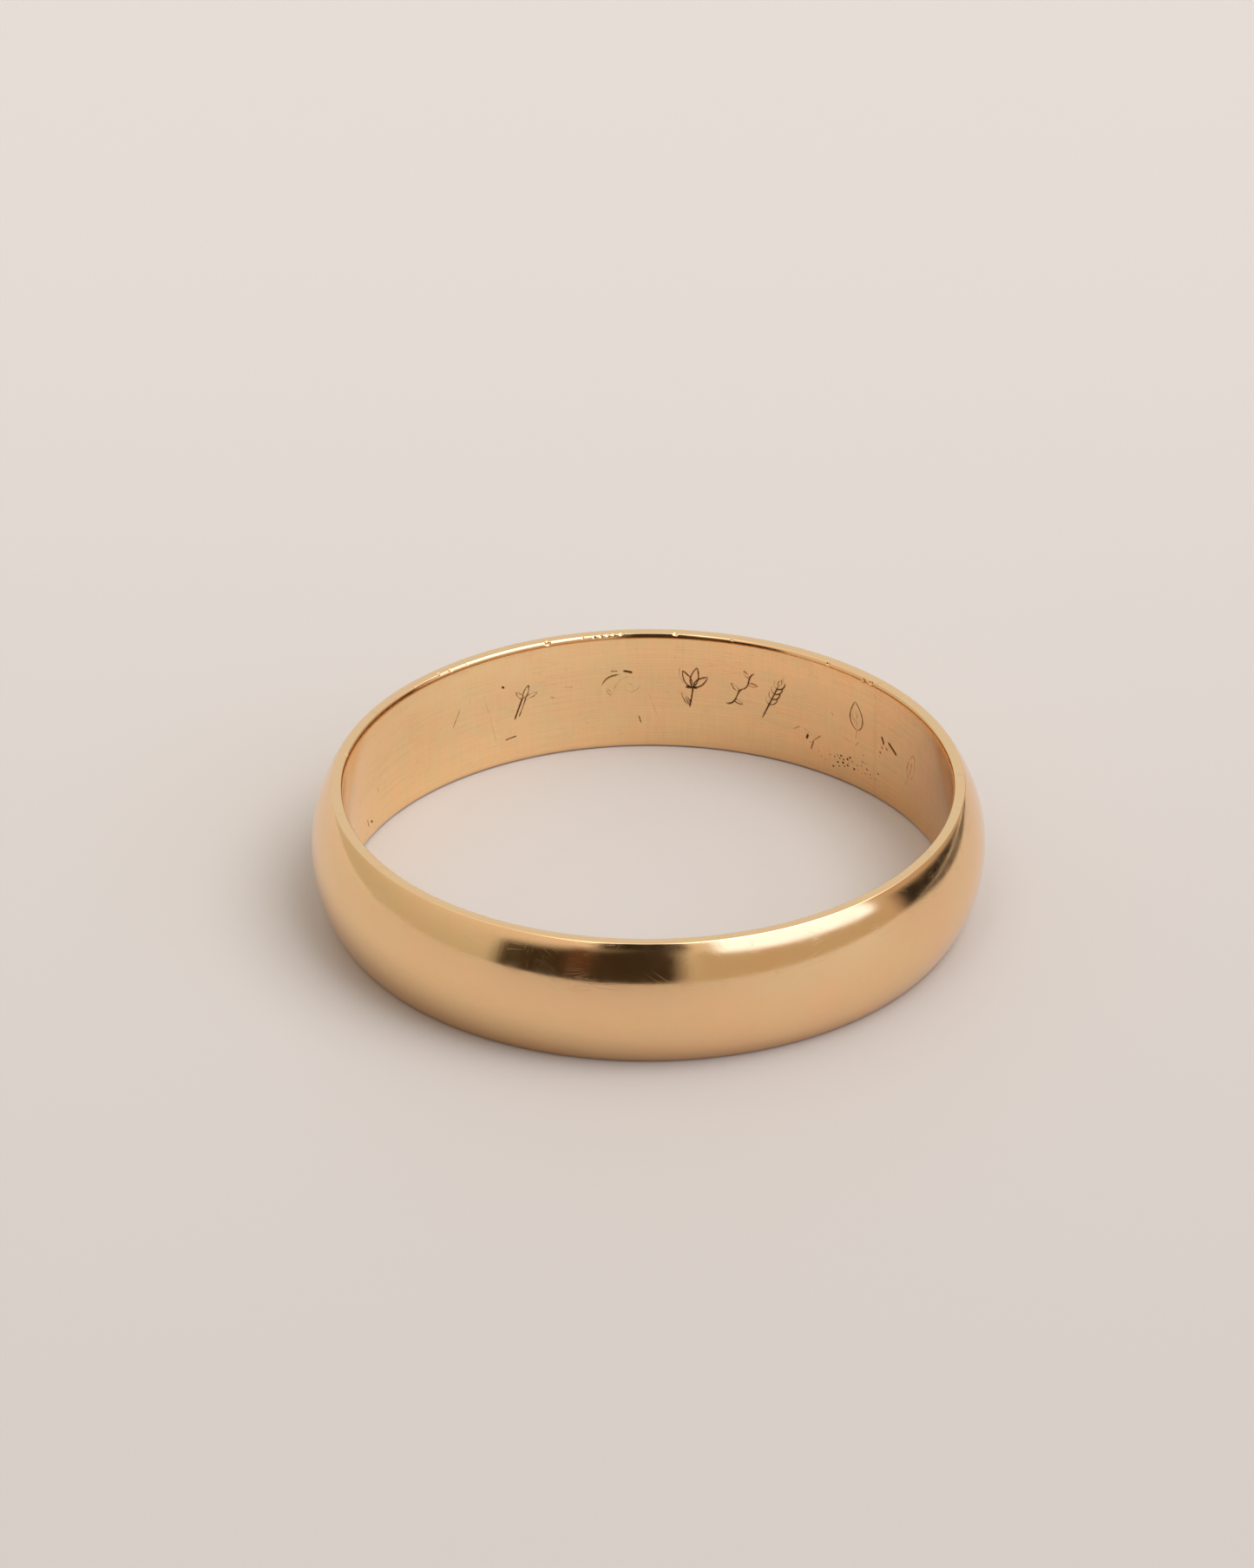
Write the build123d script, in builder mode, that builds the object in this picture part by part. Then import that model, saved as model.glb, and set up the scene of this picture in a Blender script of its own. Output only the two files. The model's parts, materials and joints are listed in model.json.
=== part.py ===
"""A plain wedding band: one strip of drawn D-section gold wire, bent round and closed by a solder joint.

Millimetres. The band lies flat. The origin is the centre of the finger bore, on the surface that the
band rests on, and +Z points along the finger.
"""
from build123d import *

import os

# Driving dimensions
bore_diameter = 18.2  # inside, where the finger goes
band_width = 4.0  # along the finger
crown_thickness = 1.0  # wall at the middle of the dome
edge_thickness = 0.36  # wall at each flat edge
bore_edge_height = 0.20  # how far down the bore the easing for the finger starts
bore_edge_depth = 0.08  # how far the easing cuts into each flat edge
edge_corner_radius = 0.06  # rounding at both sides of each flat edge
joint_bearing = 40.0  # degrees from +X towards +Y, where the strip's two ends meet
joint_thickness = 0.12  # solder between the two filed ends

# Radii and heights that follow from them
bore_radius = bore_diameter / 2
crown_radius = bore_radius + crown_thickness
edge_radius = bore_radius + edge_thickness
eased_radius = bore_radius + bore_edge_depth
crown_height = band_width / 2

# The upright plane through the ring's axis and the joint, with its X pointing outwards and its Y up
joint_plane = Plane.XZ.rotated((0, 0, joint_bearing))

# The strip's section: flat on the finger side and eased at both ends, a narrow flat at each edge, and a low
# arc outside
with BuildSketch(joint_plane) as strip_section:
    with BuildLine():
        foot = Line((edge_radius, 0), (eased_radius, 0))
        wall = Line((bore_radius, bore_edge_height), (bore_radius, band_width - bore_edge_height))
        head = Line((eased_radius, band_width), (edge_radius, band_width))
        TangentArc(wall @ 0, foot @ 1, tangent=(0, -1))
        TangentArc(wall @ 1, head @ 0, tangent=(0, 1))
        ThreePointArc(head @ 1, (crown_radius, crown_height), foot @ 0)
    make_face()
    flat_inner_ends, flat_outer_ends = strip_section.vertices().group_by(Axis.X)[1:]
    fillet(flat_inner_ends + flat_outer_ends, radius=edge_corner_radius)

# The strip, bent round. Its two ends are filed flat and parallel, and stand the solder's thickness apart.
with BuildPart() as band:
    revolve(strip_section.sketch, axis=Axis.Z)
    with BuildSketch(joint_plane):
        with Locations(((bore_radius + crown_radius) / 2, crown_height)):
            Rectangle(2 * crown_thickness, 2 * band_width)
    extrude(amount=joint_thickness / 2, both=True, mode=Mode.SUBTRACT)
band.part.label = "band"

# The solder between the two ends is a thin plate of the strip's own section, filed flush all round.
with BuildPart() as solder_joint:
    extrude(strip_section.sketch, amount=joint_thickness / 2, both=True)
solder_joint.part.label = "solder_joint"

os.makedirs("parts", exist_ok=True)
export_step(band.part, "parts/band.step")
export_step(solder_joint.part, "parts/solder_joint.step")
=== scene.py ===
"""Looks of the wedding band: worn yellow gold, hand engraving and a studio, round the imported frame.

Blender's units are metres, in the frame's own axes: the band lies on z = 0 with its bore round the Z axis.
Surface detail is laid out in millimetres. A bearing is an angle about Z in degrees, from +X towards +Y.
"""

import json
import math
import random
from collections import namedtuple

import bpy
import numpy as np
from mathutils import Matrix, Vector, noise


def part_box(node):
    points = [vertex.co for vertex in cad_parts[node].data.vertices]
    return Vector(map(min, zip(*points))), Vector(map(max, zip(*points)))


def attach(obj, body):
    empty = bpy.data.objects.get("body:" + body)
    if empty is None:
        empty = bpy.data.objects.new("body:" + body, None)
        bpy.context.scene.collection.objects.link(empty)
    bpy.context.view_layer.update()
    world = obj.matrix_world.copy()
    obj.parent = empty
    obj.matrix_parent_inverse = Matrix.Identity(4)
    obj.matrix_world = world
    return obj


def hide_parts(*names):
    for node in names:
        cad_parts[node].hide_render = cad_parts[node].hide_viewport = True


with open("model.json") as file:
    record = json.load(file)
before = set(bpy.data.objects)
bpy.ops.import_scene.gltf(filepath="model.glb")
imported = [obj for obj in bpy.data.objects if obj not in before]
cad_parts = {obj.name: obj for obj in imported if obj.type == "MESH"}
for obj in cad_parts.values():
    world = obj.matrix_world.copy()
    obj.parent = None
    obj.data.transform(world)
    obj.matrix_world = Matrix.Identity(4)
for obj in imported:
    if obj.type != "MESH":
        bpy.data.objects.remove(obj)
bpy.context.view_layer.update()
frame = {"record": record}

MM = 0.001
BODY = "root"

# ---- Sizes in millimetres, read from the frame -----------------------------------------------------------
low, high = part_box("band")
finger_bore = next(m for m in frame["record"]["mounts"] if m["name"] == "finger_bore")
BORE_RADIUS = finger_bore["dims"]["r_mm"]
CROWN_RADIUS = (high.x - low.x) / 2 / MM
WIDTH = (high.z - low.z) / MM
BORE_EDGE_HEIGHT = (WIDTH - finger_bore["dims"]["length_mm"]) / 2

joint_low, joint_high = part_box("solder_joint")
joint_middle = (joint_low + joint_high) / 2
JOINT_BEARING = math.degrees(math.atan2(joint_middle.y, joint_middle.x))

# The CAD source's own values for what the frame doesn't name
EDGE_WALL = 0.36
BORE_EDGE_DEPTH = 0.08
EDGE_CORNER_RADIUS = 0.06
JOINT_THICKNESS = 0.12

EDGE_CROWN = 0.006  # wear leaves the flat edges this much higher in the middle
INSET = 0.0048  # the whole worn surface stands back this far, so its waves stay inside the CAD shape

# ---- Mesh density ----------------------------------------------------------------------------------------
FINE_STEP = 0.025  # along and across the engraving, in millimetres
PLAIN_STEP = 1.6  # degrees between columns where nothing is cut
ENGRAVED_HEIGHTS = (0.36, 3.08)  # the bore's rows are FINE_STEP apart between these, in millimetres
CUT_MARGIN = 0.1  # millimetres of fine columns beyond each side of a motif
KNOCK_MARGIN = 1.2  # half the width of a knock's fine columns, as a share of the knock's size
BROAD_KNOCK = 0.2  # a knock at least this many millimetres across needs no fine columns
JOINT_CLEARANCE = 0.5  # degrees from the solder joint's middle to the band's first column past its end face
JOINT_COLUMNS = 5

# Points along each stretch of the section, its two ends included
FOOT_POINTS = 3
HEAD_POINTS = 7
EASE_POINTS = 9
INNER_CORNER_POINTS = 6
FLAT_POINTS = 7
OUTER_CORNER_POINTS = 5
DOME_POINTS = 29

# ---- Engraving -------------------------------------------------------------------------------------------
FULLY_DARK = 0.026  # a cut this many millimetres deep is quite dark with grime
BURR = 0.10  # height of the burr beside a cut, as a share of the cut's depth
MANY_POINTS = 9  # a stroke with more points than this tapers towards its ends


# ---- The strip's section ---------------------------------------------------------------------------------
def arc(centre, radius, start, end, count):
    """Points on an arc in the section's plane, from angle start to angle end."""
    return [(centre[0] + radius * math.cos(a), centre[1] + radius * math.sin(a))
            for a in np.linspace(start, end, count)]


def edge_corner(centre, radius, side):
    """The rounding between an arc of the section and its flat edge: its centre and its first angle."""
    height = WIDTH - EDGE_CROWN - EDGE_CORNER_RADIUS
    reach = math.sqrt((radius - EDGE_CORNER_RADIUS) ** 2 - (height - centre[1]) ** 2)
    return (centre[0] + side * reach, height), math.atan2(height - centre[1], side * reach)


def section():
    """The closed outline as (radius, height) points, and its outward normals.

    It goes up the bore, over the upper edge, down the dome and back under the lower edge.
    """
    foot, head = BORE_EDGE_HEIGHT, WIDTH - BORE_EDGE_HEIGHT
    engraved_low, engraved_high = ENGRAVED_HEIGHTS
    heights = np.concatenate([
        np.linspace(foot, engraved_low, FOOT_POINTS)[:-1],
        np.linspace(engraved_low, engraved_high, round((engraved_high - engraved_low) / FINE_STEP))[:-1],
        np.linspace(engraved_high, head, HEAD_POINTS),
    ])
    bore = [(BORE_RADIUS, z) for z in heights]

    # The bore is eased at each edge by an arc that starts in line with it.
    ease_radius = (BORE_EDGE_HEIGHT**2 + BORE_EDGE_DEPTH**2) / (2 * BORE_EDGE_DEPTH)
    ease_centre = (BORE_RADIUS + ease_radius, head)
    inner_corner, ease_end = edge_corner(ease_centre, ease_radius, -1)

    # The dome is one arc through the two edges and the crown.
    middle = WIDTH / 2
    sagitta = CROWN_RADIUS - BORE_RADIUS - EDGE_WALL
    dome_radius = (middle**2 + sagitta**2) / (2 * sagitta)
    dome_centre = (CROWN_RADIUS - dome_radius, middle)
    outer_corner, dome_end = edge_corner(dome_centre, dome_radius, 1)

    upright = math.pi / 2
    upper = arc(ease_centre, ease_radius, math.pi, ease_end, EASE_POINTS)[1:]
    upper += arc(inner_corner, EDGE_CORNER_RADIUS, ease_end, upright, INNER_CORNER_POINTS)[1:]
    flat_width = outer_corner[0] - inner_corner[0]
    for share in np.linspace(0, 1, FLAT_POINTS)[1:-1]:
        upper.append((inner_corner[0] + flat_width * share, WIDTH - EDGE_CROWN * (2 * share - 1) ** 2))
    upper += arc(outer_corner, EDGE_CORNER_RADIUS, upright, dome_end, OUTER_CORNER_POINTS)
    dome = arc(dome_centre, dome_radius, dome_end, -dome_end, DOME_POINTS)[1:-1]
    lower = [(r, WIDTH - z) for r, z in reversed(upper)]
    outline = np.array(bore + upper + dome + lower[:-1])

    along = np.roll(outline, -1, axis=0) - outline
    along /= np.linalg.norm(along, axis=1, keepdims=True)
    along += np.roll(along, 1, axis=0)
    normals = np.stack([-along[:, 1], along[:, 0]], axis=1)
    return outline, normals / np.linalg.norm(normals, axis=1, keepdims=True)


OUTLINE, NORMALS = section()


# ---- Hand engraving on the bore --------------------------------------------------------------------------
# A motif is a list of strokes, and a stroke is (points, width, depth, worn). The points are (across, up) from
# the motif's centre, in millimetres, with across to the right as seen from inside the ring. Worn is the share
# that is rubbed away.
POINT_SPACING = 0.02
FEWEST_POINTS = 4


def curve(start, first, second, end):
    """A cubic curve, as points about POINT_SPACING apart."""
    start, first, second, end = (np.array(p, float) for p in (start, first, second, end))
    reach = np.linalg.norm(first - start) + np.linalg.norm(second - first) + np.linalg.norm(end - second)
    t = np.linspace(0, 1, max(FEWEST_POINTS, int(reach / POINT_SPACING)))[:, None]
    return (1 - t) ** 3 * start + 3 * (1 - t) ** 2 * t * first + 3 * (1 - t) * t**2 * second + t**3 * end


def line(start, end):
    """A straight line, as points about POINT_SPACING apart."""
    start, end = np.array(start, float), np.array(end, float)
    return curve(start, start + (end - start) / 3, start + (end - start) * 2 / 3, end)


def leaf(base, length, width, lean, vein=0.0):
    """A pointed leaf growing from base, lean degrees right of upright, its vein a share of its length."""
    lean = math.radians(lean)
    grow = np.array([math.sin(lean), math.cos(lean)]) * length
    side = np.array([math.cos(lean), -math.sin(lean)]) * width
    base = np.array(base, float)
    outline = []
    for turn in (-0.72, 0.72):
        belly, shoulder = base + grow * 0.2 + side * turn, base + grow * 0.66 + side * turn * 0.7
        outline.append(curve(base, belly, shoulder, base + grow))
    return outline + ([line(base, base + grow * vein)] if vein else [])


def cut(lines, width, depth, worn):
    """The lines as strokes of one width, depth and wear."""
    return [(points, width, depth, worn) for points in lines]


def sprig():
    """A stem cut twice, slanting, with a bud between two spread leaves."""
    stem = cut([line((-0.42, -0.62), (-0.14, 0.10))], 0.07, 0.030, 0.1)
    echo = cut([line((-0.27, -0.56), (-0.02, 0.08))], 0.055, 0.022, 0.25)
    bud = cut(leaf((-0.10, 0.06), 0.46, 0.17, 20), 0.05, 0.022, 0.15)
    spread = leaf((-0.08, 0.04), 0.46, 0.14, 74) + leaf((-0.14, 0.06), 0.36, 0.13, -40)
    return stem + echo + bud + cut(spread, 0.05, 0.017, 0.3)


def scroll():
    """A worn running scroll: a clear arc, then a curl that is nearly rubbed away."""
    arch = [curve((-0.66, 0.05), (-0.55, 0.32), (-0.40, 0.38), (-0.10, 0.40))]
    curl = [
        curve((-0.30, -0.22), (-0.26, 0.28), (0.34, 0.52), (0.50, 0.10)),
        curve((0.50, 0.10), (0.56, -0.22), (0.14, -0.34), (0.06, -0.10)),
        curve((0.06, -0.10), (0.02, 0.08), (0.22, 0.12), (0.26, 0.0)),
    ]
    bract = leaf((-0.5, -0.1), 0.3, 0.1, 150)
    return cut(arch, 0.05, 0.022, 0.1) + cut(curl, 0.045, 0.010, 0.45) + cut(bract, 0.05, 0.010, 0.4)


def tulip():
    """Three pointed petals on a stem with one leaf, the deepest cutting on the band."""
    petals = leaf((0.02, 0.0), 0.70, 0.26, 12)
    petals += leaf((-0.02, 0.0), 0.60, 0.24, -26) + leaf((0.06, 0.0), 0.58, 0.24, 50)
    calyx = cut([line((-0.17, -0.02), (0.16, -0.03))], 0.08, 0.032, 0)
    stem = cut([curve((0.03, -0.04), (0.02, -0.30), (-0.02, -0.45), (-0.06, -0.74))], 0.06, 0.028, 0.05)
    blades = cut(leaf((-0.05, -0.66), 0.52, 0.15, -32, 0.6), 0.05, 0.02, 0.3)
    echo = cut([curve((-0.26, 0.12), (-0.36, 0.30), (-0.44, 0.44), (-0.36, 0.66))], 0.045, 0.014, 0.3)
    return cut(petals, 0.05, 0.026, 0.12) + calyx + stem + blades + echo


def vine():
    """A slanting, waving stem with small leaves on alternate sides."""
    stem = [
        curve((-0.50, -0.58), (-0.10, -0.60), (-0.22, -0.10), (0.04, 0.0)),
        curve((0.04, 0.0), (0.30, 0.10), (0.14, 0.44), (0.40, 0.60)),
    ]
    leaves = leaf((-0.24, -0.42), 0.32, 0.12, 112) + leaf((-0.10, -0.10), 0.36, 0.13, -44)
    leaves += leaf((0.20, 0.20), 0.32, 0.12, 96) + leaf((0.22, 0.42), 0.28, 0.11, -38)
    return cut(stem, 0.06, 0.026, 0.12) + cut(leaves, 0.05, 0.018, 0.3)


def wheat():
    """An ear of wheat: a slanting stalk with short curved husks in pairs."""
    foot, head = np.array([-0.40, -0.72]), np.array([0.14, 0.52])
    lines = cut([line(foot, head)], 0.06, 0.027, 0.1)
    for share in (0.42, 0.58, 0.74, 0.90):
        base = foot + (head - foot) * share
        right = curve(base, base + (0.16, 0.0), base + (0.28, 0.10), base + (0.27, 0.26))
        left = curve(base, base + (-0.10, 0.06), base + (-0.14, 0.16), base + (-0.06, 0.28))
        lines += cut([right], 0.055, 0.024, 0.12) + cut([left], 0.05, 0.017, 0.3)
    return lines + cut(leaf(head, 0.26, 0.12, 24), 0.05, 0.020, 0.2)


def single_leaf():
    """One upright leaf, veined, with a second, fainter line inside one side and a short stem."""
    outer = leaf((0.06, -0.44), 1.0, 0.56, -6)
    inner = leaf((0.04, -0.30), 0.72, 0.30, -6)[:1]
    veins = [line((0.06, -0.44), (-0.01, 0.30)), line((0.04, -0.20), (0.17, 0.0))]
    veins += [line((0.02, 0.0), (0.12, 0.18)), line((0.04, -0.22), (-0.12, -0.04))]
    veins += [line((0.06, -0.44), (-0.02, -0.76))]
    return cut(outer, 0.05, 0.021, 0.1) + cut(inner, 0.045, 0.010, 0.3) + cut(veins, 0.045, 0.012, 0.3)


def faint_leaf():
    """One leaning leaf on a short stem, cut lightly."""
    blade = leaf((-0.10, -0.50), 1.05, 0.42, 18, 0.7)
    return cut(blade + [line((-0.10, -0.50), (-0.28, -0.78))], 0.06, 0.014, 0.3)


def slips():
    """Two short, wide slips of the graver with the marks of its heel."""
    slip = cut([line((-0.38, 0.16), (-0.30, 0.0)), line((-0.06, 0.12), (0.34, -0.12))], 0.10, 0.034, 0.05)
    heels = cut([line((-0.38, -0.18), (-0.36, -0.20)), line((-0.18, -0.12), (-0.12, -0.16))], 0.07, 0.018, 0)
    return slip + heels


def stray(start, end, width, depth, worn):
    """One stray scratch, given in bearing and height, as (centre bearing, centre height, strokes)."""
    bearing, height = (start[0] + end[0]) / 2, (start[1] + end[1]) / 2
    per_degree = math.radians(1) * BORE_RADIUS
    ends = [((bearing - b) * per_degree, z - height) for b, z in (start, end)]
    return bearing, height, cut([line(*ends)], width, depth, worn)


MOTIFS = [
    (114.0, 2.15, sprig()),
    (94.6, 2.20, scroll()),
    (81.2, 2.20, tulip()),
    (71.2, 2.32, vine()),
    (64.4, 2.15, wheat()),
    (45.3, 2.48, single_leaf()),
    (35.6, 2.10, slips()),
    (28.6, 1.95, faint_leaf()),
    stray((130.9, 1.95), (129.0, 2.52), 0.045, 0.018, 0.2),
    stray((127.2, 2.15), (126.6, 2.75), 0.045, 0.009, 0.6),
    stray((123.1, 2.49), (120.5, 0.75), 0.045, 0.008, 0.3),
    stray((118.7, 0.89), (116.3, 0.94), 0.055, 0.020, 0.0),
    stray((119.2, 2.79), (119.0, 2.76), 0.075, 0.026, 0.0),
    stray((109.0, 2.05), (108.4, 2.02), 0.075, 0.010, 0.0),
    stray((106.3, 2.34), (104.6, 2.28), 0.07, 0.008, 0.2),
    stray((103.4, 0.80), (100.0, 0.78), 0.05, 0.006, 0.2),
    stray((102.2, 0.98), (100.6, 0.93), 0.045, 0.008, 0.3),
    stray((96.9, 2.74), (95.8, 2.72), 0.05, 0.018, 0.1),
    stray((94.5, 2.72), (92.9, 2.66), 0.075, 0.028, 0.0),
    stray((91.6, 1.12), (91.1, 0.86), 0.055, 0.018, 0.0),
    stray((89.6, 1.90), (87.9, 1.10), 0.045, 0.008, 0.3),
    stray((62.3, 3.06), (62.6, 2.84), 0.045, 0.012, 0.2),
    stray((60.2, 1.30), (58.9, 1.44), 0.045, 0.018, 0.2),
    stray((57.6, 1.42), (53.6, 1.02), 0.04, 0.007, 0.3),
    stray((57.0, 1.22), (57.2, 1.12), 0.085, 0.030, 0.0),
    stray((56.2, 0.80), (55.6, 1.10), 0.05, 0.022, 0.1),
    stray((55.6, 1.10), (54.0, 1.34), 0.05, 0.018, 0.1),
    stray((48.6, 1.62), (46.4, 1.50), 0.045, 0.008, 0.3),
    stray((45.6, 1.44), (44.6, 1.66), 0.05, 0.012, 0.2),
    stray((51.4, 2.30), (51.2, 2.24), 0.06, 0.010, 0.0),
    stray((154.6, 1.62), (154.2, 1.36), 0.07, 0.008, 0.0),
    stray((159.4, 0.84), (158.6, 0.52), 0.055, 0.018, 0.1),
    stray((157.4, 0.62), (157.1, 0.56), 0.075, 0.026, 0.0),
    stray((151.2, 2.30), (149.0, 2.42), 0.06, 0.006, 0.2),
]

# Pits left by a worn stamp, all unreadable, as patches: (bearing, height, spread in degrees, spread in
# millimetres, tries, depth)
PIT_PATCHES = [
    (48.8, 0.74, 1.6, 0.15, 26, 0.040),
    (42.6, 0.86, 1.5, 0.17, 26, 0.022),
    (53.8, 0.66, 1.1, 0.12, 10, 0.016),
    (57.6, 1.32, 1.2, 0.12, 7, 0.016),
    (38.6, 1.55, 0.7, 0.06, 5, 0.022),
]
PIT_SPACING = 0.12
LOWEST_PIT = 0.42
PIT_SIZES = (0.045, 0.095)
PIT_LENGTH = 0.015


def pits():
    """Small round pits as strokes of almost no length, as (bearing, height, strokes)."""
    chance = random.Random(7)
    per_degree = math.radians(1) * BORE_RADIUS
    found = []
    for bearing, height, wide, tall, count, depth in PIT_PATCHES:
        for _ in range(count):
            b, z = chance.gauss(bearing, wide), chance.gauss(height, tall)
            size = chance.uniform(*PIT_SIZES)
            strength = depth * chance.uniform(0.5, 1.0)
            reach = (chance.uniform(-PIT_LENGTH, PIT_LENGTH), chance.uniform(-PIT_LENGTH, PIT_LENGTH))
            apart = min((math.hypot((b - other[0]) * per_degree, z - other[1]) for other in found), default=1)
            if apart > PIT_SPACING and z > LOWEST_PIT:
                found.append((b, z, cut([line((0, 0), reach)], size, strength, 0)))
    return found


CUTS = MOTIFS + pits()

# Knocks on the edges and the dome: (bearing, radius, height, size across, depth), in degrees and millimetres
KNOCKS = [
    (109.5, 9.15, 3.97, 0.14, 0.085), (94.9, 9.18, 3.99, 0.09, 0.055), (84.5, 9.19, 3.98, 0.11, 0.070),
    (97.6, 9.17, 3.97, 0.07, 0.040), (96.4, 9.18, 3.98, 0.06, 0.040), (98.9, 9.16, 3.96, 0.07, 0.040),
    (100.2, 9.15, 3.95, 0.06, 0.028), (102.5, 9.16, 3.97, 0.05, 0.022), (82.2, 9.22, 3.99, 0.05, 0.030),
    (116.4, 9.40, 4.00, 0.08, 0.045), (115.2, 9.36, 4.00, 0.06, 0.032), (119.2, 9.40, 3.99, 0.07, 0.036),
    (133.7, 9.22, 4.00, 0.11, 0.055), (131.0, 9.18, 3.98, 0.09, 0.045), (136.2, 9.25, 4.00, 0.08, 0.036),
    (127.0, 9.17, 3.97, 0.06, 0.026), (123.4, 9.20, 3.99, 0.05, 0.022), (140.6, 9.20, 3.99, 0.07, 0.030),
    (82.5, 9.40, 4.00, 0.10, 0.034), (68.0, 9.33, 4.00, 0.07, 0.034), (52.6, 9.15, 3.94, 0.09, 0.050),
    (41.6, 9.14, 3.93, 0.16, 0.040), (43.6, 9.12, 3.90, 0.14, 0.022), (73.3, 9.16, 3.97, 0.06, 0.022),
    (169.7, 9.22, 3.99, 0.16, 0.035), (216.7, 9.72, 3.55, 0.40, 0.020), (221.6, 10.09, 2.30, 0.46, 0.017),
    (198.5, 10.09, 1.72, 0.30, 0.010), (258.0, 10.0, 1.15, 0.36, 0.008), (305.0, 10.05, 2.6, 0.40, 0.008),
    (20.0, 10.05, 1.3, 0.35, 0.010), (75.0, 10.06, 2.5, 0.45, 0.012), (118.0, 9.9, 3.0, 0.30, 0.010),
    (150.0, 10.08, 1.6, 0.40, 0.010), (332.0, 9.40, 4.00, 0.07, 0.024), (288.0, 9.38, 4.00, 0.08, 0.024),
    (244.0, 9.40, 3.99, 0.08, 0.024), (200.0, 9.38, 4.00, 0.07, 0.024), (5.0, 9.38, 4.00, 0.07, 0.026),
    (153.0, 9.1, 2.1, 0.10, 0.015),
]


def rubbed(points, worn, seed):
    """How much of each point of a stroke is left, from 0 to 1, in patches about 0.2 mm long."""
    per_mm = 5
    evenly, in_patches = 0.9, 2.4
    patches = np.array([noise.noise(Vector((x * per_mm + seed, y * per_mm, seed * 0.7))) for x, y in points])
    return np.clip(1 - worn * (evenly + in_patches * patches), 0.0, 1.0)


def engrave(across, up):
    """Depth below the bore and darkness, at points given as distance round the bore and height.

    A cut is a V groove, with a low burr beside it where the graver pushed the metal up.
    """
    depth, dark = np.zeros(across.shape), np.zeros(across.shape)
    turn = 2 * math.pi * BORE_RADIUS
    middle = (across.min() + across.max()) / 2
    end_share, swell = 0.5, 1.6  # a long stroke starts and ends this deep, and soon reaches its full depth
    narrowest, widening = 0.7, 0.3  # a cut is narrower where it is rubbed away
    floor_rise = 1.1  # above 1, so that the groove's floor is slightly flat
    burr_place, burr_spread = 1.5, 0.5  # in half widths of the cut
    grime_rise = 1.6  # above 1, so that the grime fills the lower part of the groove evenly
    seed, seed_step = 0.0, 1.37  # each stroke wears in its own pattern
    for bearing, height, strokes in CUTS:
        centre = math.radians(bearing) * BORE_RADIUS
        centre += turn * round((middle - centre) / turn)
        for points, width, deepest, worn in strokes:
            seed += seed_step
            line_across, line_up = centre - points[:, 0], height + points[:, 1]
            near = ((across > line_across.min() - width) & (across < line_across.max() + width)
                    & (up > line_up.min() - width) & (up < line_up.max() + width))
            if not near.any():
                continue
            left = rubbed(points, worn, seed)
            if len(points) > MANY_POINTS:
                taper = end_share + swell * np.sin(np.linspace(0, math.pi, len(points)))
                left = left * np.minimum(1.0, taper)
            half = width / 2 * (narrowest + widening * left)
            distance = np.hypot(across[near][:, None] - line_across, up[near][:, None] - line_up)
            groove = (np.clip(floor_rise - distance / half, 0, 1) * left).max(axis=1)
            from_burr = (distance - half * burr_place) / (half * burr_spread)
            burr = (np.exp(-(from_burr ** 2)) * left * BURR).max(axis=1)
            raised = np.where(groove > 0, 0, burr) * deepest
            depth[near] = np.maximum(depth[near], groove * deepest) - raised
            grime = np.minimum(1, groove * grime_rise) * min(1.0, deepest / FULLY_DARK)
            dark[near] = np.maximum(dark[near], grime)
    return depth, dark


def knock(points, bearing, radius, height, size, depth):
    """A shallow dent: how far the metal at each point is pushed in."""
    turn = math.radians(bearing)
    centre = np.array([radius * math.cos(turn), radius * math.sin(turn), height])
    distance = np.linalg.norm(points - centre, axis=-1)
    steepness = 1.6
    return depth * np.exp(-((distance / (size / 2)) ** 2) * steepness)


def waviness(points):
    """Slow unevenness of a hand-finished surface, in millimetres: more on the dome, less near the edges."""
    dome_amount, bore_amount = 0.0045, 0.0030
    edge_reach, edge_share = 0.3, 0.2
    slow_scale, quick_scale, quick_share, elsewhere = 0.42, 1.3, 0.28, 9
    flat = points.reshape(-1, 3)
    slow = np.array([noise.noise(Vector(p * slow_scale)) for p in flat])
    quick = np.array([noise.noise(Vector(p * quick_scale + elsewhere)) for p in flat])
    on_dome = np.hypot(flat[:, 0], flat[:, 1]) > BORE_RADIUS + 0.2
    from_edge = np.minimum(flat[:, 2], WIDTH - flat[:, 2])
    amount = np.where(on_dome, dome_amount, bore_amount) * np.clip(from_edge / edge_reach, edge_share, 1)
    return (amount * (slow + quick_share * quick)).reshape(points.shape[:-1])


def surface(angles):
    """The worn surface at each (angle in radians, outline row): points in millimetres and darkness."""
    radius, height = OUTLINE[:, 0], OUTLINE[:, 1]
    outward, upward = NORMALS[:, 0], NORMALS[:, 1]
    points = np.stack([radius * np.cos(angles), radius * np.sin(angles), height + 0 * angles], axis=-1)
    normals = np.stack([outward * np.cos(angles), outward * np.sin(angles), upward + 0 * angles], axis=-1)

    pushed_in = waviness(points) + INSET
    for mark in KNOCKS:
        pushed_in = pushed_in + knock(points, *mark)

    dark = np.zeros(angles.shape)
    on_bore = np.isclose(radius, BORE_RADIUS)
    depth, shade = engrave(angles[:, on_bore] * BORE_RADIUS, points[:, on_bore, 2])
    pushed_in[:, on_bore] += depth
    dark[:, on_bore] = shade
    return points - normals * pushed_in[..., None], dark


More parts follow.
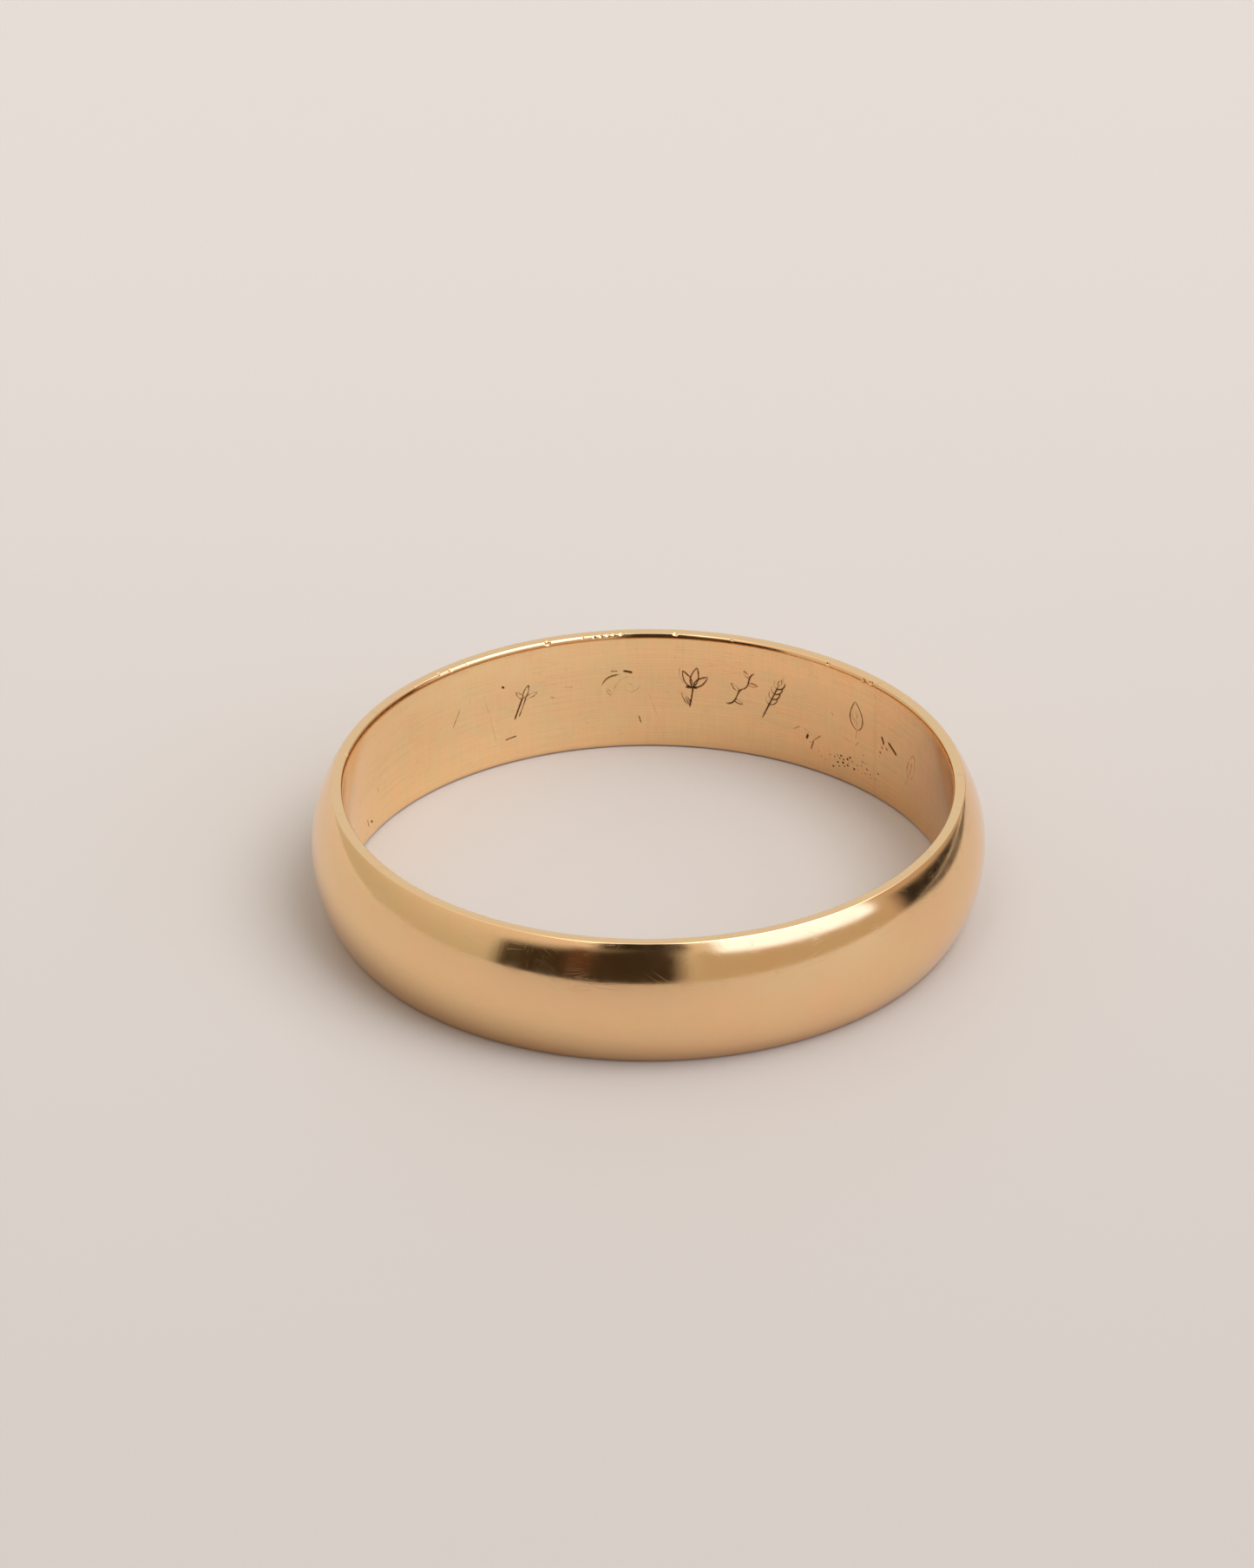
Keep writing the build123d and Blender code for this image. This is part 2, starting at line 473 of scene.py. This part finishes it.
# ---- Meshes ----------------------------------------------------------------------------------------------
def mesh_piece(name, points, faces, material, dark=None):
    """A smooth-shaded object from points in metres, with its darkness kept as the attribute "tarnish"."""
    mesh = bpy.data.meshes.new(name)
    mesh.from_pydata(points.tolist(), [], faces)
    mesh.polygons.foreach_set("use_smooth", [True] * len(mesh.polygons))
    if dark is not None:
        attribute = mesh.attributes.new("tarnish", "FLOAT", "POINT")
        attribute.data.foreach_set("value", dark.astype(np.float32).ravel())
    mesh.materials.append(material)
    mesh.validate()
    mesh.update()
    piece = bpy.data.objects.new(name, mesh)
    bpy.context.scene.collection.objects.link(piece)
    return piece


def strip_piece(name, angles, material, node):
    """A length of the strip from the first column of angles to the last, with a flat face at each end."""
    points, dark = surface(angles)
    columns, around = angles.shape
    index = np.arange(columns * around).reshape(columns, around)
    this, following = index[:-1], index[1:]
    faces = np.stack([this, np.roll(this, -1, 1), np.roll(following, -1, 1), following], axis=2)
    faces = faces.reshape(-1, 4).tolist()
    ends = [index[0][::-1].tolist(), index[-1].tolist()]
    piece = mesh_piece(name, points.reshape(-1, 3) * MM, faces + ends, material, dark)
    first, last = piece.data.polygons[-2:]
    first.use_smooth = last.use_smooth = False
    rims = set(first.edge_keys) | set(last.edge_keys)
    for edge in piece.data.edges:
        edge.use_edge_sharp = edge.key in rims
    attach(piece, BODY)
    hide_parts(node)
    return piece


def joint_angles(offset):
    """Angles of the outline's rows on a plane parallel to the joint, offset sideways from it."""
    return math.radians(JOINT_BEARING) + np.arcsin(offset / OUTLINE[:, 0])


def band_columns():
    """Bearings of the columns: close together wherever something is cut or knocked, wide apart elsewhere."""
    per_degree = math.radians(1) * BORE_RADIUS
    spans = []
    for bearing, _, strokes in CUTS:
        sides = np.concatenate([points[:, 0] for points, *_ in strokes])
        start = bearing - (sides.max() + CUT_MARGIN) / per_degree
        spans.append((start, bearing - (sides.min() - CUT_MARGIN) / per_degree))
    for bearing, _, _, size, _ in KNOCKS:
        if size < BROAD_KNOCK:
            reach = size * KNOCK_MARGIN / per_degree
            spans.append((bearing - reach, bearing + reach))
    first, last = JOINT_BEARING + JOINT_CLEARANCE, JOINT_BEARING + 360 - JOINT_CLEARANCE
    spans = [tuple(b + 360 if b < first else b for b in span) for span in spans]
    spans = [(start if start <= end else first, end) for start, end in spans]
    plain = np.arange(first, last, PLAIN_STEP)
    fine = np.arange(first, last, FINE_STEP / per_degree)
    wanted = np.zeros(fine.shape, bool)
    for start, end in spans:
        wanted |= (fine >= start) & (fine <= end)
    bearings = np.sort(np.concatenate([plain, fine[wanted]]))
    spaced = np.concatenate([[True], np.diff(bearings) > FINE_STEP / per_degree * 0.5])
    return np.radians(bearings[spaced])


def make_band(material):
    """The strip all round the ring, from one face of the solder joint to the other."""
    middle = np.repeat(band_columns()[:, None], len(OUTLINE), axis=1)
    start = joint_angles(JOINT_THICKNESS / 2)
    end = joint_angles(-JOINT_THICKNESS / 2) + 2 * math.pi
    angles = np.vstack([start, middle, end])
    return strip_piece("gold_band", angles, material, "band")


def make_solder_joint(material):
    """The thin plate of the same section that fills the gap."""
    offsets = np.linspace(-0.5, 0.5, JOINT_COLUMNS) * JOINT_THICKNESS
    angles = np.vstack([joint_angles(offset) for offset in offsets])
    return strip_piece("solder_seam", angles, material, "solder_joint")


# ---- Node trees ------------------------------------------------------------------------------------------
class Nodes:
    """Builds one node tree. An input may be given as a plain value or as another node's output socket."""

    def __init__(self, tree):
        self.tree = tree
        tree.nodes.clear()

    def add(self, kind, inputs=None, **settings):
        node = self.tree.nodes.new(kind)
        for key, value in settings.items():
            setattr(node, key, value)
        for key, value in (inputs or {}).items():
            self.feed(node.inputs[key], value)
        return node

    def feed(self, socket, value):
        if isinstance(value, bpy.types.NodeSocket):
            self.tree.links.new(value, socket)
        else:
            socket.default_value = value

    def math(self, operation, *values):
        return self.add("ShaderNodeMath", dict(enumerate(values)), operation=operation).outputs[0]

    def product(self, first, *others):
        for value in others:
            first = self.math("MULTIPLY", first, value)
        return first

    def total(self, first, *others):
        for value in others:
            first = self.math("ADD", first, value)
        return first

    def ramp(self, value, start, end, low=0.0, high=1.0):
        """Eases from low at start to high at end."""
        inputs = {"Value": value, "From Min": start, "From Max": end, "To Min": low, "To Max": high}
        return self.add("ShaderNodeMapRange", inputs, interpolation_type="SMOOTHSTEP").outputs["Result"]

    def mix(self, share, first, second, blend="MIX"):
        node = self.add("ShaderNodeMix", data_type="RGBA", blend_type=blend)
        self.feed(node.inputs["Factor"], share)
        self.feed(node.inputs[6], first)
        self.feed(node.inputs[7], second)
        return node.outputs[2]

    def vector(self, x, y, z):
        return self.add("ShaderNodeCombineXYZ", {0: x, 1: y, 2: z}).outputs[0]

    def noise(self, vector, scale, detail):
        inputs = {"Vector": vector, "Scale": scale, "Detail": detail}
        return self.add("ShaderNodeTexNoise", inputs).outputs["Fac"]

    def finish(self, shader):
        output = self.add("ShaderNodeOutputMaterial")
        self.feed(output.inputs["Surface"], shader)


def colour(red, green, blue):
    return (red, green, blue, 1.0)


# ---- Gold ------------------------------------------------------------------------------------------------
RELIEF_DEPTH = 0.0016  # millimetres, for a height of 1 in the relief of lines and scratches


def gold_material(name, base, warm, cool):
    """Worn polished gold: softly mottled and finely scratched, with dark grime in what is cut.

    The bore is a little rougher, with draw lines round it, a painted reflection that makes it lighter near
    both edges, and painted light and shade that make it lighter towards -X and browner towards +X.
    """
    material = bpy.data.materials.new(name)
    material.use_nodes = True
    nodes = Nodes(material.node_tree)

    # Millimetres round the ring, up it and out from its axis. The angle's jump is turned to the solder joint.
    place = nodes.add("ShaderNodeTexCoord").outputs["Object"]
    to_joint = {"Vector": place, "Angle": math.radians(180 - JOINT_BEARING)}
    turned = nodes.add("ShaderNodeVectorRotate", to_joint, rotation_type="Z_AXIS").outputs[0]
    split = nodes.add("ShaderNodeSeparateXYZ", {0: turned})
    x, y, z = (nodes.math("MULTIPLY", split.outputs[axis], 1 / MM) for axis in "XYZ")
    round_ring = nodes.math("MULTIPLY", nodes.math("ARCTAN2", y, x), BORE_RADIUS)
    out = nodes.math("SQRT", nodes.total(nodes.product(x, x), nodes.product(y, y)))
    from_middle = nodes.math("ABSOLUTE", nodes.math("SUBTRACT", z, WIDTH / 2))
    past_edge = nodes.ramp(from_middle, WIDTH / 2 - BORE_EDGE_HEIGHT, WIDTH / 2 - BORE_EDGE_HEIGHT / 2)
    outside = nodes.math("MAXIMUM", nodes.ramp(out, BORE_RADIUS + 0.04, BORE_RADIUS + 0.22), past_edge)
    inside = nodes.math("SUBTRACT", 1.0, outside)
    solid = nodes.vector(x, y, z)

    def by_side(on_outside, on_bore):
        """A value that changes smoothly between the outside and the bore."""
        return nodes.ramp(inside, 0, 1, on_outside, on_bore)

    def streaks(along, across):
        """Noise stretched by different amounts along the ring and across it."""
        stretched = nodes.vector(nodes.product(round_ring, along), nodes.product(z, across), out)
        return nodes.noise(stretched, 1.0, 3.0)

    def hairlines(lean, fine, share):
        """Thin scratches that lean by an angle, where stretched noise is near its middle value."""
        turn = math.radians(lean)
        along = nodes.total(nodes.product(round_ring, math.cos(turn)), nodes.product(z, math.sin(turn)))
        across = nodes.total(nodes.product(round_ring, -math.sin(turn)), nodes.product(z, math.cos(turn)))
        length, thinness = 0.35 * fine, 2.6 * fine
        stretched = nodes.vector(nodes.product(along, length), nodes.product(across, thinness), lean * 0.37)
        near = nodes.math("ABSOLUTE", nodes.math("SUBTRACT", nodes.noise(stretched, 1.0, 1.0), 0.5))
        patches = nodes.ramp(nodes.noise(solid, 0.9 + lean * 0.004, 1.0), 0.62 - share, 0.72 - share)
        return nodes.product(nodes.ramp(near, 0.012, 0.002), patches)

    drawn = streaks(0.30, 34.0)
    rubbed_up = streaks(26.0, 0.7)
    scratches = nodes.math("MAXIMUM", hairlines(3, 3.0, 0.12), hairlines(-33, 2.2, 0.02))
    scratches = nodes.math("MAXIMUM", scratches, hairlines(84, 2.6, 0.06))
    tarnish = nodes.add("ShaderNodeAttribute", attribute_name="tarnish").outputs["Fac"]
    grime = nodes.ramp(tarnish, 0.04, 0.80)

    # Colour: a slow warm tint and a quicker cool one.
    tint = nodes.ramp(nodes.noise(solid, 0.55, 3.0), 0.34, 0.66)
    metal = nodes.mix(nodes.product(tint, 0.7), base, warm)
    mottle = nodes.ramp(nodes.noise(solid, 1.5, 3.0), 0.40, 0.66)
    metal = nodes.mix(nodes.product(mottle, by_side(0.15, 0.45)), metal, cool)

    # In the bore: the tone of the draw lines and rubbing, then a painted reflection, lighter near both edges,
    # and painted light and shade, lighter towards -X and browner towards +X.
    lines_tone = nodes.ramp(drawn, 0.36, 0.64, 0.955, 1.025)
    tone = nodes.total(lines_tone, nodes.ramp(rubbed_up, 0.35, 0.65, -0.02, 0.02))
    # Painted reflection: the bore is lighter near its lower and upper edges.
    tone = nodes.product(tone, nodes.ramp(z, 0.3, 2.0, 1.06, 1.0), nodes.ramp(z, 2.4, 3.5, 1.0, 1.08))
    # Painted light and shade: the bore is lighter towards -X, and darker and browner towards +X.
    own_x = nodes.add("ShaderNodeSeparateXYZ", {0: place}).outputs["X"]
    side = nodes.mix(nodes.ramp(own_x, -7 * MM, 9 * MM), colour(1.05, 1.06, 1.03), colour(0.94, 0.87, 0.80))
    bore_lines_and_painted_light = nodes.mix(1.0, side, nodes.vector(tone, tone, tone), "MULTIPLY")
    metal = nodes.mix(1.0, metal, nodes.mix(inside, colour(1, 1, 1), bore_lines_and_painted_light), "MULTIPLY")

    # The scratches are brown, and the grime is darker where a cut is deeper.
    metal = nodes.mix(nodes.product(scratches, by_side(0.06, 0.14)), metal, colour(0.50, 0.26, 0.10))
    thin_grime, thick_grime = colour(0.26, 0.10, 0.03), colour(0.070, 0.028, 0.009)
    metal = nodes.mix(grime, metal, nodes.mix(nodes.ramp(tarnish, 0.25, 0.85), thin_grime, thick_grime))

    # Roughness: polished, a little less so in the bore, and duller in scratches and grime.
    worn = nodes.ramp(nodes.noise(solid, 1.7, 4.0), 0.35, 0.70, 0.0, 0.05)
    rough = nodes.total(nodes.product(outside, 0.10), nodes.product(inside, 0.13), worn)
    rough = nodes.total(rough, nodes.product(scratches, 0.06), nodes.product(grime, 0.30))

    relief = nodes.total(
        nodes.product(drawn, inside, 0.50),
        nodes.product(rubbed_up, inside, 0.22),
        nodes.product(nodes.noise(solid, 9.0, 4.0), by_side(0.16, 0.30)),
        nodes.product(scratches, by_side(-0.25, -0.6)),
    )
    bump = nodes.add("ShaderNodeBump", {"Strength": 1.0, "Distance": RELIEF_DEPTH * MM, "Height": relief})

    shader = nodes.add("ShaderNodeBsdfPrincipled", {
        "Base Color": metal,
        "Metallic": nodes.math("SUBTRACT", 1.0, nodes.product(grime, 0.45)),
        "Roughness": rough,
        "Specular IOR Level": 0.2,
        "Normal": bump.outputs[0],
    })
    nodes.finish(shader.outputs[0])
    return material


# ---- Studio ----------------------------------------------------------------------------------------------
def make_camera():
    """Looks down at the band from the front, at the photograph's angle and distance."""
    elevation, roll = math.radians(29.79), math.radians(0.25)
    distance, aim_right, aim_up = 235.16 * MM, -0.625 * MM, 3.370 * MM
    right = Vector((1, 0, 0))
    up = Vector((0, math.sin(elevation), math.cos(elevation)))
    back = Vector((0, -math.cos(elevation), math.sin(elevation)))
    data = bpy.data.cameras.new("camera")
    data.lens, data.sensor_width = 179.3, 36
    data.clip_start, data.clip_end = 0.01, 20
    camera = bpy.data.objects.new("camera", data)
    turn = Matrix((right, up, back)).transposed().to_4x4() @ Matrix.Rotation(-roll, 4, "Z")
    camera.matrix_world = Matrix.Translation(right * aim_right + up * aim_up + back * distance) @ turn
    bpy.context.scene.collection.objects.link(camera)
    bpy.context.scene.camera = camera


# One thing that surrounds the ring. Its azimuths, its elevations and the softness of each pair of edges are
# in degrees, and light is the colour it gives. Its lower and upper edges lean: for each degree short of its
# last azimuth, they lie rise degrees higher.
Thing = namedtuple("Thing", "azimuths elevations soft light rise", defaults=[0.0])
ALL_ROUND = (-400, 400)

# Each is painted over the ones before.
SURROUNDINGS = [
    # the wall at the back, the ceiling, its glow, then the zenith
    Thing((50, 140), (6, 60), (16, 12), (0.76, 0.77, 0.76)),
    Thing(ALL_ROUND, (54, 100), (1, 14), (0.98, 0.90, 0.80)),
    Thing((-135, 46), (46, 84), (14, 6), (2.05, 2.18, 2.22)),
    Thing(ALL_ROUND, (80, 100), (1, 4), (1.40, 1.46, 1.50)),
    # window sill, window and soft box
    Thing((-75, -4), (-20, 17), (5, 4), (0.55, 0.45, 0.33), 0.17),
    Thing((-66, -8), (14, 44), (3, 3), (1.42, 1.66, 2.20), 0.20),
    Thing((-56, 16), (45, 78), (5, 5), (4.30, 4.30, 4.35)),
    # someone standing in front, a gap between their arm and body, then their head and camera
    Thing((-141, -79), (1, 37), (4, 4), (0.042, 0.03, 0.017), -0.21),
    Thing((-117, -110), (6, 30), (3, 4), (0.12, 0.055, 0.03)),
    Thing((-109, -76), (31, 80), (3, 4), (0.035, 0.024, 0.014)),
    # shaded wall and dark furniture
    Thing((-4, 60), (-5, 40), (5, 6), (0.54, 0.42, 0.32)),
    Thing((1, 42), (-14, 1.5), (4, 3), (0.03, 0.025, 0.02), 0.35),
]


def make_world():
    """A pale room with a soft box and a window to the right, and someone dark standing in front.

    It lights the floor and the gold mirrors it, but the camera itself sees a plain pale backdrop.
    """
    world = bpy.data.worlds.new("studio")
    world.use_nodes = True
    bpy.context.scene.world = world
    nodes = Nodes(world.node_tree)
    direction = nodes.add("ShaderNodeTexCoord").outputs["Generated"]
    split = nodes.add("ShaderNodeSeparateXYZ", {0: direction})
    degrees = 180 / math.pi
    azimuth = nodes.product(nodes.math("ARCTAN2", split.outputs["Y"], split.outputs["X"]), degrees)
    elevation = nodes.product(nodes.math("ARCSINE", split.outputs["Z"]), degrees)

    def between(value, start, end, soft):
        rise = nodes.ramp(value, start - soft, start + soft)
        fall = nodes.ramp(value, end + soft, end - soft)
        return nodes.product(rise, fall)

    low_walls, high_walls = colour(0.58, 0.53, 0.42), colour(0.80, 0.70, 0.615)
    seen = nodes.mix(nodes.ramp(elevation, 0, 42), low_walls, high_walls)
    for thing in SURROUNDINGS:
        past_last = nodes.math("SUBTRACT", azimuth, thing.azimuths[1])
        height = nodes.total(elevation, nodes.product(past_last, thing.rise))
        across = between(azimuth, *thing.azimuths, thing.soft[0])
        upward = between(height, *thing.elevations, thing.soft[1])
        seen = nodes.mix(nodes.product(across, upward), seen, colour(*thing.light))

    backdrop = colour(0.770, 0.704, 0.652)
    is_camera = nodes.add("ShaderNodeLightPath").outputs["Is Camera Ray"]
    light = nodes.mix(is_camera, seen, backdrop)
    background = nodes.add("ShaderNodeBackground", {"Color": light, "Strength": 1.0})
    output = nodes.add("ShaderNodeOutputWorld")
    nodes.feed(output.inputs["Surface"], background.outputs[0])
    bpy.context.scene.view_settings.view_transform = "Standard"


def make_floor():
    """A pale card with painted light, a little lighter towards the back, and a painted dark patch that only
    the gold mirrors.
    """
    material = bpy.data.materials.new("pale_card")
    material.use_nodes = True
    nodes = Nodes(material.node_tree)
    place = nodes.add("ShaderNodeTexCoord").outputs["Object"]
    split = nodes.add("ShaderNodeSeparateXYZ", {0: place})
    to_right, to_back = split.outputs["X"], split.outputs["Y"]
    # Painted light: the card is a little lighter towards the back.
    painted_shade_front_card, painted_light_back_card = colour(0.562, 0.512, 0.475), colour(0.662, 0.605, 0.562)
    card = nodes.mix(nodes.ramp(to_back, -0.045, 0.065), painted_shade_front_card, painted_light_back_card)

    # A painted dark patch lies to the right of the band, from beside it to behind it. The camera doesn't see
    # it; the gold mirrors it as a dark reflection.
    unseen = nodes.math("SUBTRACT", 1.0, nodes.add("ShaderNodeLightPath").outputs["Is Camera Ray"])
    painted_dark_patch = nodes.product(nodes.ramp(to_right, 0.032, 0.040), nodes.ramp(to_back, 0.004, 0.012), unseen)
    card = nodes.mix(nodes.product(painted_dark_patch, nodes.ramp(to_back, 0.10, 0.08)), card, colour(0.05, 0.04, 0.03))
    inputs = {"Base Color": card, "Roughness": 0.5, "Specular IOR Level": 0.25}
    shader = nodes.add("ShaderNodeBsdfPrincipled", inputs)
    nodes.finish(shader.outputs[0])
    half = 1.2  # metres, far enough for the floor's edge to stay out of the camera's view
    corners = np.array([(-half, -half, 0), (half, -half, 0), (half, half, 0), (-half, half, 0)])
    mesh_piece("floor", corners, [(0, 1, 2, 3)], material)


make_camera()
make_world()
make_floor()
yellow_gold = gold_material(
    "yellow_gold", colour(0.92, 0.63, 0.34), warm=colour(0.95, 0.60, 0.33), cool=colour(0.82, 0.635, 0.355))
make_band(yellow_gold)
gold_solder = gold_material(
    "gold_solder", colour(0.88, 0.60, 0.32), warm=colour(0.90, 0.58, 0.32), cool=colour(0.83, 0.61, 0.36))
make_solder_joint(gold_solder)
